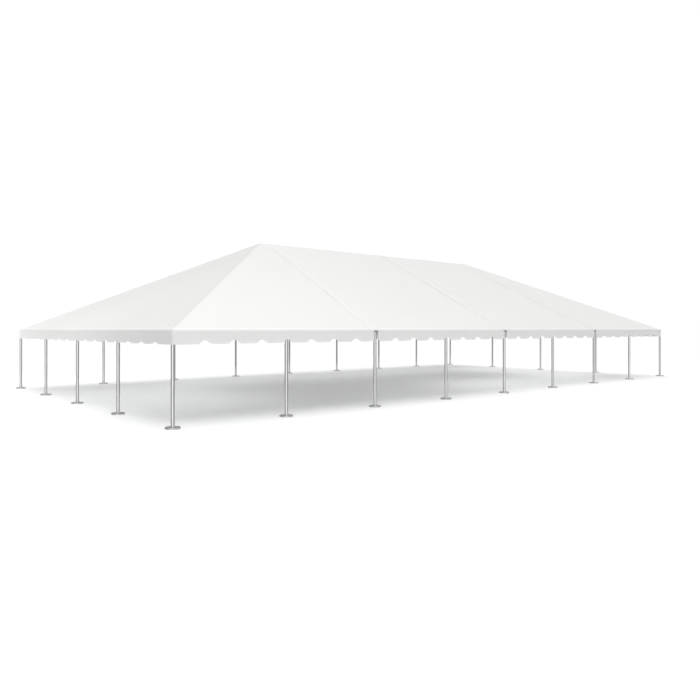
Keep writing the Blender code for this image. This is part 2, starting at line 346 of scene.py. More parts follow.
def vinyl(name, look, flap=False):
    # coated cloth laid flat: u runs along the eave and v up the slope from it, both in metres
    made, w = newMaterial(name)
    u, v = uvParts(w, "laid")
    rim, _ = uvParts(w, "edge")
    cloth, raised = w.vector(u, v, 0.0), look["raised"]
    clouds = w.noise(cloth, *look["clouds"])
    runs = w.noise(w.vector(u * 3.1, v * 0.22, 0.0), *look["runs"])
    marks = clouds.eased(0.45, 0.80) * 0.5 + runs.eased(0.52, 0.85) * 0.5
    colour = w.blend(marks * 0.55, look["white"], look["shaded"])
    if flap:
        # on a flap, a strip along the welt: raised and doubled, and its lighter colour is a painted highlight
        doubled = rim.eased(look["weltHighlightWidth"] + 0.002, look["weltHighlightWidth"])
        colour = w.blend(doubled * 0.8, colour, look["webbingAndWeltHighlight"])
    else:
        welds = u.gapTo(look["weldEvery"]).eased(look["weldHalf"] + 0.0012, look["weldHalf"])
        welds = welds * v.eased(look["bandMiddle"], look["bandMiddle"] + 0.005) * look["weldShare"]
        eaveBand = v.gapTo(farPeriod, -look["bandMiddle"]).eased(look["bandHalf"] + 0.0015, look["bandHalf"])
        hemBand = rim.eased(look["hemTo"] + 0.0015, look["hemTo"]) * rim.eased(0.0, 0.0003)
        doubled = welds.maths("MAXIMUM", eaveBand).maths("MAXIMUM", hemBand)
        colour = w.blend(eaveBand, w.blend(doubled * 0.8, colour, look["welded"]), look["webbingAndWeltHighlight"])
    rows = [rim.gapTo(farPeriod, -place).eased(0.0010, 0.0006) for place in look["stitchRows"]]
    stitches = (rows[0] + rows[1]) * u.gapTo(look["stitchEvery"]).eased(0.0030, 0.0022)
    colour = w.blend(stitches, colour, look["stitch"])
    turns = 2 * math.pi / look["thread"]
    weave = (u * turns).maths("SINE") * (v * turns).maths("SINE")
    creases, fine = w.noise(cloth, *look["creases"]), w.noise(cloth, *look["fine"])
    height = doubled * raised["layer"] + stitches * raised["stitch"] + weave * raised["weave"]
    height = height + creases * raised["crease"] + fine * raised["fine"]
    rough = fine * 0.10 + (look["roughness"] - 0.05) + marks * 0.06
    sockets = {"Base Color": colour, "Roughness": rough, "Normal": bumped(w, height), "IOR": 1.45}
    face = w.node("ShaderNodeBsdfPrincipled", None, sockets)
    glow = w.node("ShaderNodeBsdfTranslucent", None, {"Color": look["glow"]})
    # two layers let a little more than half as much light on as one
    share = doubled * (-0.45 * look["through"]) + look["through"]
    closeMaterial(w, w.node("ShaderNodeMixShader", None, {0: share, 1: face, 2: glow}))
    return made


drawnLook = {                 # light, oxidised, roughness, and how deep the drawing lines are
    "leg": ((0.69, 0.695, 0.70, 1), (0.57, 0.575, 0.58, 1), 0.18, 0.000004),
    "tube": ((0.70, 0.71, 0.72, 1), (0.56, 0.57, 0.58, 1), 0.27, 0.000016),
    "scuff": (0.80, 0.81, 0.82, 1),
    "scuffDepth": 0.00001,
}


def drawnMetal(name, light, dull, roughness, depth):
    # a drawn tube: fine lines along it, a little oxide in clouds, and scuffs round it. u is turns, v metres.
    made, w = newMaterial(name)
    u, v = uvParts(w, "laid")
    angle = u * (2 * math.pi)
    cosine, sine = angle.maths("COSINE"), angle.maths("SINE")

    def noise(across, along, *shape):
        return w.noise(w.vector(cosine * across, sine * across, v * along), 1.0, *shape)

    lines, clouds = noise(26.0, 0.9, 3.0), noise(0.8, 2.4, 4.0, 0.6)
    scuffs = noise(2.0, 160.0, 2.0).eased(0.64, 0.74) * clouds.eased(0.45, 0.65)
    colour = w.blend(clouds.eased(0.35, 0.80) * 0.7, light, dull)
    colour = w.blend(scuffs * 0.35, colour, drawnLook["scuff"])
    rough = lines * 0.10 + clouds * 0.10 + scuffs * 0.08 + (roughness - 0.10)
    closeMetal(w, colour, rough, lines * depth + scuffs * drawnLook["scuffDepth"])
    return made


castLook = {                  # light, dark, roughness, the grain's scale, the height under which it is lighter, rubbed and with a painted highlight
    "fitting": ((0.66, 0.67, 0.67, 1), (0.46, 0.47, 0.48, 1), 0.42, 420.0, None),
    "plate": ((0.60, 0.61, 0.62, 1), (0.40, 0.41, 0.42, 1), 0.40, 260.0, 0.0355),
    "bolt": ((0.60, 0.60, 0.58, 1), (0.42, 0.42, 0.41, 1), 0.30, 900.0, None),
    # rubbed metal, and a painted highlight round the plate's rim
    "rubbedHighlight": (0.72, 0.725, 0.73, 1),
}


def castMetal(name, light, dark, roughness, grain, rubbedHighlightBelow):
    # a cast or forged surface on object coordinates: sand grain, and darker in its low places. Below a given
    # height it is lighter, partly rubbed wear and partly a painted highlight round a plate's rim.
    made, w = newMaterial(name)
    place = w.node("ShaderNodeTexCoord", out="Object")
    sand = w.noise(place, grain, 3.0, 0.65)
    clouds = w.noise(place, 9.0, 4.0, 0.6)
    colour = w.blend((clouds * 0.7 + sand * 0.5).eased(0.40, 0.85), dark, light)
    rough = clouds * 0.2 + (roughness - 0.1)
    if rubbedHighlightBelow:
        # painted highlight, partly rubbed wear: below a height, the plate's rim is made lighter
        rubbedHighlight = place.part(2).eased(rubbedHighlightBelow, rubbedHighlightBelow - 0.003) * 0.85
        colour = w.blend(rubbedHighlight, colour, castLook["rubbedHighlight"])
        rough = rough + rubbedHighlight * 0.06
    closeMetal(w, colour, rough, sand * (0.12 / grain))
    return made


canopyVinyl = vinyl("canopyVinyl", vinylLook)
flapVinyl = vinyl("flapVinyl", dict(vinylLook, **flapVinylLook), flap=True)
legMetal = drawnMetal("legTube", *drawnLook["leg"])
tubeMetal = drawnMetal("drawnTube", *drawnLook["tube"])
fittingMetal = castMetal("castFitting", *castLook["fitting"])
plateMetal = castMetal("basePlate", *castLook["plate"])
boltMetal = castMetal("zincBolt", *castLook["bolt"])
tell("materials")


# The canopy's sheets

sheetShape = {
    "scallop": bay / 4,
    "notchHalf": 0.17,
    "notchHeight": 0.086,
    "endNotch": 0.48,            # how much of that height the end valances' notches have
    "slitHalf": 0.085,           # half of the opening in the valance where a seam meets a leg
    "tuckRadius": 0.056,         # how near the valance's ends pass behind that leg's axis
    "tuckTurn": 177,             # degrees that they go round it
    "tuckRows": 5,               # of the valance's rows, how many go round behind the leg
    "bendHalf": 0.052,           # half of that opening where it goes on up into the bend over the rail
    "bendOpen": 3,               # steps of the bend that it goes up, and a seam's flap starts over them
    "valanceTop": 2.094,         # the last of the valance's rows, just under the bend
    "seamGap": 0.0008,
    "thickness": 0.0024,
    "hemRows": [0.0, 0.003, 0.0245, 0.0275],
    "hemRaised": [0.0, 0.0012, 0.0012, 0.0],
    "valanceRows": 6,
    "eaveSteps": 6,
    "cornerSteps": 6,
    "ridgeSteps": 4,
    "bandLow": 0.035, "bandHigh": 0.075, "bandRaised": 0.0012,
    "sag": 0.017,                # how far the sheet hangs in between two rafters
    "sagReach": 0.62,            # how far from a tube it has sagged in full
    "jackLean": 0.296,           # how much nearer to the middle a jack rafter would reach the ridge
    "swell": 0.0016,             # soft unevenness
    "ripple": 0.004,             # how far the valance's waves swing out at the hem
}
slopeRows = [0.018, 0.034, 0.0355, 0.0745, 0.076, 0.10, 0.15, 0.22, 0.31, 0.43, 0.58, 0.77, 1.0, 1.27, 1.57,
             1.9, 2.25, 2.62, 3.0, 3.4, 3.8, 4.2, 4.6, 5.0, 5.37, 5.7, 5.99, 6.23, 6.42, 6.56, 6.67, 6.75,
             6.80]
sideNormal = unit([0, -(ridgeZ - railZ), widthHalf])
endNormal = unit([-(ridgeZ - railZ), 0, lengthHalf - crownX])
slopeLength = math.hypot(widthHalf, ridgeZ - railZ)


def nearestOf(gaps):
    # a smooth least of several distances, folded two at a time by a + b - sqrt(a*a + b*b)
    total = gaps[0]
    for gap in gaps[1:]:
        total = total + gap - np.sqrt(total ** 2 + gap ** 2)
    return total


def hangOf(x, y, onEnd):
    # how far the sheet hangs under the flat slope at a plan point: nothing over a tube, and in between a
    # parabola of the smooth distance to the tubes, with small waves that cross
    x, y = np.abs(x), np.abs(y)
    upSlope = (widthHalf - y) / widthHalf
    hip = np.abs((lengthHalf - x) * widthHalf - (widthHalf - y) * (lengthHalf - crownX))
    hip = hip / math.hypot(widthHalf, lengthHalf - crownX)
    side = [widthHalf - y, y, hip, np.abs(x - (lengthHalf - bay) + sheetShape["jackLean"] * upSlope)]
    for leg in (0.0, bay, 2 * bay):
        side.append(np.abs(x - leg - (min(leg, crownX) - leg) * upSlope))
    end = [lengthHalf - x, hip, y, np.abs(y - bay)]
    gap = np.where(onEnd, nearestOf(end), nearestOf(side))
    share = np.clip(gap / sheetShape["sagReach"], 0, 1)
    swell = np.sin(1.9 * x + 0.7 * y) * np.sin(2.3 * y - 0.6 * x + 0.8)
    swell = swell + 0.6 * np.sin(4.1 * x - 3.3 * y + 2.0) + 0.4 * np.sin(7.7 * x + 5.2 * y + 1.0)
    return sheetShape["sag"] * (1 - (1 - share) ** 2) + sheetShape["swell"] * swell * share


def columnMarks(start, end, slits=True):
    # places along a straight run of eave: close together round each notch, and a few in between and over the
    # slits at its ends
    scallop, notch = sheetShape["scallop"], sheetShape["notchHalf"]
    low, high = min(start, end), max(start, end)
    first = math.floor(low / scallop) - 1
    marks = scallop * np.arange(first, math.ceil(high / scallop) + 2)
    across = np.concatenate([notch * np.linspace(-1, 1, 19), scallop / 2 + np.array([-0.12, 0.0, 0.12])])
    places = (marks[:, None] + across[None]).ravel()
    places = places[(places > low + 0.004) & (places < high - 0.004)]
    slit = sheetShape["slitHalf"] * np.linspace(0.1, 1, 10)
    slit = np.concatenate([low + slit, high - slit]) if slits else []
    places = np.unique(np.round(np.concatenate([[low, high], places, slit]), 4))
    return places if start < end else places[::-1]


def notchAt(place, halfSide):
    # how far the notches reach up from the hem: a bell between two scallops, and none at the corners
    scallop = sheetShape["scallop"]
    gap = np.abs(place - scallop * np.round(place / scallop))
    notch = sheetShape["notchHeight"] * (1 - np.minimum(gap / sheetShape["notchHalf"], 1) ** 2) ** 1.7
    return np.where(np.abs(np.abs(place) - halfSide) < scallop / 2, 0, notch)


def runOf(place, foot, out, slope, top, notch, fromSeam=0.0, end=False):
    # columns of one side of the tent, with all that sheetGrid needs to know of each
    count = len(place)
    return {
        "foot": np.stack(np.broadcast_arrays(*foot), -1),
        "out": np.tile(out, (count, 1)), "slope": np.tile(slope, (count, 1)),
        "top": np.broadcast_to(top, count), "along": place, "notch": np.broadcast_to(notch, count),
        "fromSeam": np.broadcast_to(fromSeam, count), "end": np.full(count, end),
    }


def sideRun(sign, start, end, topStart, topEnd, slits):
    # columns of a front (-1) or back (+1) slope: their feet along the eave, and their tops along the ridge
    x = columnMarks(start, end)
    top = topStart + (x - start) / (end - start) * (topEnd - topStart)
    fromSeam = np.zeros(len(x))
    for seam in slits:
        fromSeam = np.where(np.abs(x - seam) < sheetShape["slitHalf"] - 0.0005, x - seam, fromSeam)
    return runOf(x, (x, sign * widthHalf), [0.0, sign, 0.0], sideNormal * [1, -sign, 1], top,
                 notchAt(x, lengthHalf), fromSeam)


def endRun(sign, start, end):
    # columns of a left (-1) or right (+1) slope, which all climb to the crown
    y = columnMarks(start, end, slits=False)
    return runOf(y, (sign * lengthHalf, y), [sign, 0.0, 0.0], endNormal * [-sign, 1, 1], sign * crownX,
                 notchAt(y, widthHalf) * sheetShape["endNotch"], end=True)


def cornerRun(before, after):
    # columns over a hip: one foot and one top, while the way that the sheet faces turns from slope to slope
    share = np.linspace(0, 1, sheetShape["cornerSteps"] + 1)[1:-1, None]
    first, last = {k: v[-1:] for k, v in before.items()}, {k: v[:1] for k, v in after.items()}
    turning = {k: np.repeat(v, len(share), axis=0) for k, v in first.items()}
    for key in ("out", "slope"):
        turning[key] = unit(first[key] * (1 - share) + last[key] * share)
    turning["end"] = share[:, 0] > 0.5
    turning["along"] = np.where(turning["end"], last["along"], first["along"])
    return turning


def planOf(foot, away, run):
    # where the valance hangs in plan: away from the eave rail's axis, but beside a seam it goes round the
    # leg's axis, from the opening's edge to the tuck's turn and radius
    half, radius, fromSeam = sheetShape["slitHalf"], sheetShape["tuckRadius"], run["fromSeam"]
    share = np.where(fromSeam != 0, 1 - np.abs(fromSeam) / half, 0)
    edgeRadius, edgeAngle = np.hypot(half, away), np.arctan2(half, away)
    angle = edgeAngle + (math.radians(sheetShape["tuckTurn"]) - edgeAngle) * share
    radius = radius + (edgeRadius - radius) * (1 - share) ** 2
    across = np.column_stack([np.sign(fromSeam) * radius * np.sin(angle) - fromSeam, np.zeros(len(foot))])
    behind = across + (radius * np.cos(angle))[:, None] * run["out"][:, :2]
    return foot[:, :2] + np.where(share[:, None] > 0, behind, away[:, None] * run["out"][:, :2])


def sheetGrid(run, lift=0.0, topOnly=False):
    # the sheet over a run of columns, rows from the hem up: the valance at the standoff outside the legs'
    # axes, an arc round the eave rail, the slope at the standoff above the rafters' axes less the hang, and
    # an arc round the ridge
    shape, count = sheetShape, len(run["top"])
    foot = np.column_stack([run["foot"], np.full(count, railZ)])
    top = np.column_stack([run["top"], np.zeros(count), np.full(count, ridgeZ)])
    far = np.broadcast_to(standoff + lift, count)
    rows, laidV, edge = [], [], []

    def addRow(places, v, fromHem=1.0):
        rows.append(places)
        laidV.append(np.broadcast_to(v, count))
        edge.append(np.broadcast_to(fromHem, count))

    if not topOnly:
        hem, along = tent["hem"] + run["notch"], run["along"]
        seam = hem + shape["hemRows"][-1]
        levels = [(hem + part, raised) for part, raised in zip(shape["hemRows"], shape["hemRaised"])]
        levels += [(seam + part * (shape["valanceTop"] - seam), 0.0)
                   for part in np.linspace(0, 1, shape["valanceRows"] + 2)[1:-1]]
        wave = 1 + np.sin(2.6 * along + 1.1) * np.sin(0.9 * along + 0.4) + 0.5 * np.sin(9.3 * along)
        for z, raised in levels:
            fall = np.clip((railZ - z) / (railZ - tent["hem"]), 0, 1)
            away = far + raised + shape["ripple"] * fall ** 1.5 * np.clip(wave, 0, 2)
            addRow(np.column_stack([planOf(foot, away, run), z]), z - tent["eave"], z - hem)
    for share in np.linspace(0, 1, shape["eaveSteps"] + 1)[topOnly * shape["bendOpen"]:]:
        facing = unit(run["out"] * (1 - share) + run["slope"] * share)
        addRow(foot + far[:, None] * facing, (share - 1) * 0.05)
    for distance in slopeRows:
        share = distance / slopeLength
        base = foot * (1 - share) + top * share
        hang = hangOf(base[:, 0], base[:, 1], run["end"])
        raised = shape["bandRaised"] * (shape["bandLow"] < distance < shape["bandHigh"]) * (not topOnly)
        addRow(base + (far + raised - hang)[:, None] * run["slope"], distance)
    for share in np.linspace(0, 1, shape["ridgeSteps"] + 1):
        facing = unit(run["slope"] * (1 - share) + up * share)
        addRow(top + far[:, None] * facing, slopeLength + 0.02 * share)
    grid, v, edge = np.stack(rows), np.stack(laidV), np.stack(edge)
    # u follows the eave, x over the side slopes and y over the end ones
    sideU, endU = np.stack([grid[..., 0], v], -1), np.stack([grid[..., 1], v], -1)
    onEnd = (run["end"][:-1] & run["end"][1:])[None, :, None, None]
    return grid, np.where(onEnd, cornersOf(endU), cornersOf(sideU)), edge


def mirrored(grid, laid, *others):
    # the same surface with its faces turned over
    return grid[:, ::-1], laid[:, ::-1][:, :, [1, 0, 3, 2]], *(a[:, ::-1] for a in others)


def addSheet(cast, run, flip):
    grid, laid, edge = sheetGrid(run)
    shape, fromSeam = sheetShape, np.abs(run["fromSeam"])
    bend = len(shape["hemRows"]) + shape["valanceRows"]
    tucked = len(shape["hemRows"]) + shape["tuckRows"]
    slit, narrow = fromSeam > 0, (fromSeam > 0) & (fromSeam < shape["bendHalf"])
    keep = np.ones((grid.shape[0] - 1, grid.shape[1] - 1), bool)
    keep[tucked - 1:bend, slit[:-1] | slit[1:]] = False
    keep[bend:bend + shape["bendOpen"], narrow[:-1] | narrow[1:]] = False
    if flip:
        grid, laid, keep, edge = mirrored(grid, laid, keep, edge)
    cast.add(grid, laid, keep=keep, edge=edge)


def makeSections():
    # each section is one continuous sheet; a seam leaves a hair between two of them
    seams = {mark * bay: top for mark, top in tent["seams"].items()}
    gap = sheetShape["seamGap"] / 2
    made = {}

    def section(name, *runs):
        cast = mould(name)
        for run, flip in runs:
            addSheet(cast, run, flip)
        made[name] = cast.make([canopyVinyl], "canopy_vinyl", sheetShape["thickness"], outward=False)

    for end, sign in ends.items():
        seam = sign * 2 * bay
        near, nearTop = seam + sign * gap, seams[seam] + sign * gap
        front = sideRun(-1, near, sign * lengthHalf, nearTop, sign * crownX, [seam])
        across = endRun(sign, -widthHalf, widthHalf)
        back = sideRun(1, sign * lengthHalf, near, sign * crownX, nearTop, [seam])
        runs = [front, cornerRun(front, across), across, cornerRun(across, back), back]
        joined = {key: np.concatenate([run[key] for run in runs]) for key in front}
        section(end + "EndCanopy", (joined, sign < 0))
    for end, low, high in (("left", -2 * bay, 0.0), ("right", 0.0, 2 * bay)):
        between = low + gap, high - gap, seams[low] + gap, seams[high] - gap, [low, high]
        section(end + "MiddleCanopy", (sideRun(-1, *between), False), (sideRun(1, *between), True))
    return made


sections = makeSections()
for name, piece in sections.items():
    middle = "Middle" in name
    (2 * bay, 14.4) if middle else (13.4, 14.6)
tell("canopy sheets")


# A flap welded to one section laps over each seam

flapShape = {
    "lift": 0.0035,
    "thickness": 0.0022,
    "welt": 0.0055,               # the raised edge along the weld
    # its section: distances from the left edge, then from the right one, each with the share of the welt
    "left": ((0, 0), (0.002, 0.55), (0.008, 0.92), (0.016, 1), (0.024, 0.92), (0.030, 0.55), (0.032, 0),
             (0.1, 0), (0.2, 0), (0.3, 0)),
    "right": ((0.028, 0), (0.026, 0.14), (0.003, 0.14), (0, 0)),
    "edges": {                    # by seam: its two edges at the eave and at the ridge
        -2: ((-6.30, -5.84), (-5.46, -4.98)),
        0: ((-0.13, 0.44), (0.16, 0.76)),
        2: ((5.84, 6.32), (5.30, 5.77)),
    },
}


def flapRun(sign, eave, ridge):
    # columns across a flap: flat, but for a rounded welt at the left edge and a thin hem at the right one.
    # Their distances from the left edge are kept too, for the painted highlight and the stitches along the
    # welt.
    width = eave[1] - eave[0]
    section = [*flapShape["left"], *((width - back, share) for back, share in flapShape["right"])]
    across, raised = np.array(section).T
    x, top = eave[0] + across, ridge[0] + across / width * (ridge[1] - ridge[0])
    run = runOf(x, (x, sign * widthHalf), [0.0, sign, 0.0], sideNormal * [1, -sign, 1], top, 0.0)
    return run, raised * flapShape["welt"], across


def makeFlaps():
    for number, (mark, (eave, ridge)) in enumerate(flapShape["edges"].items(), 1):
        cast = mould(f"seamFlap{number}")
        for sign in (-1, 1):
            run, raised, across = flapRun(sign, eave, ridge)
            grid, laid, edge = sheetGrid(run, flapShape["lift"] + raised, topOnly=True)
            edge = np.broadcast_to(across, edge.shape)
            if sign > 0:
                grid, laid, edge = mirrored(grid, laid, edge)
            cast.add(grid, laid, edge=edge)
        piece = cast.make([flapVinyl], "canopy_vinyl", flapShape["thickness"], outward=False, extra=True)
        eave[1] - eave[0] + 0.01


makeFlaps()
tell("seam flaps")


# The frame: round tubes that stop in the sleeves of cast fittings

tubeShape = {
    "radius": 0.038,
    "sleeve": 0.042,
    "start": 0.0005,              # keeps the inner ends of a fitting's sleeves from meeting in its hub
    "bore": 0.0385,
    "mouth": 0.020,               # how deep a tube is seen to go into its sleeve
    "clear": 0.003,               # how far its end stays off the mouth's floor
    "chamfer": 0.0015,
    "lip": ((0.0025, 0), (0.0007, 0.0007), (0, 0.0022)),      # back from the end, in from the outside
    "spigot": 0.308,              # how far a fitting reaches down, which is a little way into the leg
    "spigotChamfer": 0.003,
    "memberSocket": 0.20,
    "railSleeve": 0.15,
    "bead": 0.0032,
    "boltBack": 0.045,            # from a sleeve's mouth
}
boltShape = {
    "radius": 0.0085,
    "washer": 1.35,               # of the head's radius
    "low": 0.0022, "high": 0.0080,
    "sunk": 0.0008,
}
railSleeve, memberSocket = tubeShape["railSleeve"], tubeShape["memberSocket"]


def sleeve(cast, joint, direction, length):
    # a sleeve from just outside a joint's middle, turned, with a chamfered lip and a bore at its mouth
    s = tubeShape
    outside, bore, floor = s["sleeve"], s["bore"], length - s["mouth"]
    profile = [(s["start"], 0), (s["start"], outside), (length * 0.5, outside)]
    profile += [(length - back, outside - inset) for back, inset in s["lip"]]
    profile += [(length, bore), (floor, bore), (floor, 0)]
    cast.add(**turned(joint, direction, profile), finish=1)


def spigot(cast, joint):
    # the plain stub that a leg is pushed up over, with a chamfer at its foot
    radius, length, cut = tubeShape["sleeve"], tubeShape["spigot"], tubeShape["spigotChamfer"]
    profile = [(0, 0), (0, radius), (length * 0.5, radius), (length - cut, radius), (length, radius - cut),
               (length, 0)]
    cast.add(**turned(joint, -up, profile), finish=0)


def hexBolt(cast, foot, direction):
    # a washer and a six-sided head, each turned round the bolt's axis, with their edges broken
    radius, low, high = boltShape["radius"], boltShape["low"], boltShape["high"]
    wide = radius * boltShape["washer"]
    washer = [(0, 0), (0, wide), (low - 0.0004, wide), (low, wide - radius * 0.07), (low, 0)]
    head = [(low, 0), (low, radius), (high - 0.0012, radius), (high, radius * 0.84), (high, 0)]
    cast.add(**turned(foot, direction, washer, 20), finish=2)
    cast.add(**turned(foot, direction, head, 6), finish=2)


def weldRound(cast, joint, arm, trunk):
    # a bead along the line where a sleeve leaves a trunk of its own radius: the higher of their two saddles
    radius, out = tubeShape["sleeve"], ringOf(arm, 36)
    lean, slant = out @ trunk, float(np.dot(arm, trunk))
    height = radius * np.maximum(lean / (1 - slant), -lean / (1 + slant))
    line = joint + radius * out + height[:, None] * arm
    cast.add(**bead(line, out, tubeShape["bead"]), finish=1)


def fitting(cast, joint, arms, trunk, inward, overLeg=False):
    # a round hub with a sleeve for each arm; a weld bead runs where a sleeve leaves the trunk, and a bolt
    # holds each tube from below
    s = tubeShape
    if overLeg:
        spigot(cast, joint)
        weldRound(cast, joint, -up, trunk)
    lean = np.linspace(0, np.pi, 13)
    hub = np.column_stack([-np.cos(lean), np.sin(lean)]) * s["sleeve"]
    cast.add(**turned(joint, trunk, hub), finish=1)
    for direction, length in arms:
        direction = unit(direction)
        sleeve(cast, joint, direction, length)
        if abs(float(np.dot(direction, trunk))) < 0.6:
            weldRound(cast, joint, direction, trunk)
        under = np.asarray(inward, float) * 0.6 - up
        under = unit(under - np.dot(under, direction) * direction)
        place = joint + direction * (length - s["boltBack"]) + under * (s["sleeve"] - boltShape["sunk"])
        hexBolt(cast, place, under)


def straight(cast, start, end):
    # a tube between two sleeve mouths, with chamfered ends that reach into the bores
    s = tubeShape
    length, radius, cut = np.linalg.norm(end - start), s["radius"], s["chamfer"]
    low, high = s["clear"] - s["mouth"], length + s["mouth"] - s["clear"]
    profile = [(low, 0), (low, radius - cut), (low + cut, radius)]
    profile += [(place, radius) for place in np.linspace(cut, length - cut, 5)[1:-1]]
    profile += [(high - cut, radius), (high, radius - cut), (high, 0)]
    cast.add(**turned(start, end - start, profile), finish=0)


def point(x, y, z):
    return np.array([x, y, z], float)


def eaveJoint(x, y):
    return point(x, y, railZ)


def crownAt(x):
    return point(max(-crownX, min(crownX, x)), 0, ridgeZ)


def hipMiddle(signX, signY):
    return (eaveJoint(signX * lengthHalf, signY * widthHalf) + crownAt(signX * lengthHalf)) / 2


def roofTarget(x, y):
    # the joint that the rafter from the leg at x, y climbs to: a crown, or the middle of a hip
    if any(abs(x - full) < 0.01 for full in fullRafters) or abs(y) < 0.01:
        return crownAt(x)
    return hipMiddle(math.copysign(1, x), math.copysign(1, y))


frameMetals = [tubeMetal, fittingMetal, boltMetal]
alongTent, acrossTent = point(1, 0, 0), point(0, 1, 0)


def makeRail(side, joints, axis, inward, corners):
    # one side's rail: tubes between a fitting over each leg; the corners' fittings belong to the long sides
    cast = mould(side + "EaveRail")
    for joint in joints[1:-1]:
        arms = [(axis, railSleeve), (-axis, railSleeve), (roofTarget(*joint[:2]) - joint, memberSocket)]
        fitting(cast, joint, arms, axis, inward, overLeg=True)
    if corners:
        for joint, away in ((joints[0], -axis), (joints[-1], axis)):
            arms = [(-away, railSleeve), (inward, memberSocket), (crownAt(joint[0]) - joint, memberSocket)]
            fitting(cast, joint, arms, axis, unit(inward - away), overLeg=True)
    cuts = [railSleeve] * len(joints)
    cuts[0] = cuts[-1] = railSleeve if corners else memberSocket
    for n, (low, high) in enumerate(zip(joints, joints[1:])):
        straight(cast, low + axis * cuts[n], high - axis * cuts[n + 1])
    cast.make(frameMetals, "aluminium_tube")


def makeRails():
    for side, sign in sides.items():
        joints = [eaveJoint(x, sign * widthHalf) for x in longLegs]
        makeRail(side, joints, alongTent, point(0, -sign, 0), corners=True)
    for end, sign in ends.items():
        joints = [eaveJoint(sign * lengthHalf, y) for y in (-widthHalf, *shortLegs, widthHalf)]
        makeRail(end, joints, acrossTent, point(-sign, 0, 0), corners=False)


def makeRidge():
    cast, tops = mould("ridgeBeam"), [crownAt(x) for x in fullRafters]
    for x, top in zip(fullRafters, tops):
        arms = [(eaveJoint(x, sign * widthHalf) - top, memberSocket) for sign in (-1, 1)]
        arms += [(sign * alongTent, railSleeve) for sign in (-1, 1) if abs(top[0] + sign * 0.1) < crownX]
        if abs(abs(top[0]) - crownX) < 0.01:
            arms += [(eaveJoint(math.copysign(lengthHalf, x), y) - top, memberSocket)
                     for y in (-widthHalf, 0, widthHalf)]
        fitting(cast, top, arms, alongTent, point(0, 0, 0))
    for low, high in zip(tops, tops[1:]):
        straight(cast, low + alongTent * railSleeve, high - alongTent * railSleeve)
    cast.make(frameMetals, "aluminium_tube")


def member(name, lower, upper):
    cast, cut = mould(name), unit(upper - lower) * memberSocket
    straight(cast, lower + cut, upper - cut)
    cast.make([tubeMetal], "aluminium_tube")


def makeRafters():
    for side, sign in sides.items():
        for number, x in enumerate(fullRafters, 1):
            member(f"{side}Rafter{number}", eaveJoint(x, sign * widthHalf), crownAt(x))
    for end, sign in ends.items():
        foot = eaveJoint(sign * lengthHalf, 0)
        member(f"{end}EndRafter", foot, crownAt(foot[0]))
    for side, signY in sides.items():
        for end, signX in ends.items():
            foot, middle = eaveJoint(signX * lengthHalf, signY * widthHalf), hipMiddle(signX, signY)
            top, along = crownAt(foot[0]), unit(crownAt(foot[0]) - foot)
            sideFoot = eaveJoint(signX * (lengthHalf - bay), foot[1])
            endFoot = eaveJoint(foot[0], signY * (widthHalf - bay))
            cast = mould(f"{side}{end.title()}Hip")
            arms = [(along, railSleeve), (-along, railSleeve), (sideFoot - middle, memberSocket),
                    (endFoot - middle, memberSocket)]
            fitting(cast, middle, arms, along, point(0, 0, 0))
            straight(cast, foot + along * memberSocket, middle - along * railSleeve)
            straight(cast, middle + along * railSleeve, top - along * memberSocket)
            cast.make(frameMetals, "aluminium_tube")
            member(f"{side}Jack{end.title()}", sideFoot, middle)
            member(f"{end}Jack{side.title()}", endFoot, middle)


makeRails()
makeRidge()
makeRafters()
tell("rails, ridge and rafters")


# Legs and their base plates

legShape = {
    "radius": 0.045,
    "bore": 0.0423,
    "boreDepth": 0.020,
    "foot": 0.030,                # where the tube starts, inside the plate
    "lip": 0.0008,
    "collar": 0.0500,
    "collarTop": 0.076,
    "collarGap": 0.0004,          # between the collar and the tube, under the weld
    "collarDepth": 0.01,
    "flare": 0.009,
    "weld": 0.0030,
    "boltDown": 0.060,            # from the leg's top
    "plate": 0.170,
    "rim": 0.036,
    "crown": 0.041,
    "underEdge": 0.002,           # the bevel below the rim
    "rimRound": ((0, 0.006), (0.0015, 0.003), (0.006, 0.0005), (0.012, 0)),     # in from it, and down
    "holeRing": 0.128,
    "hole": 0.0105,
    "holeFloor": 0.0012,
    "holeClear": 0.17,            # the angle between a hole's middle and the first plain column
    "innerRadii": (0.095, 0.080, 0.045, 0.0),     # of the plate's top, from the holes to its middle
    "collarChamfer": 0.0015,
    "sides": 48,
}


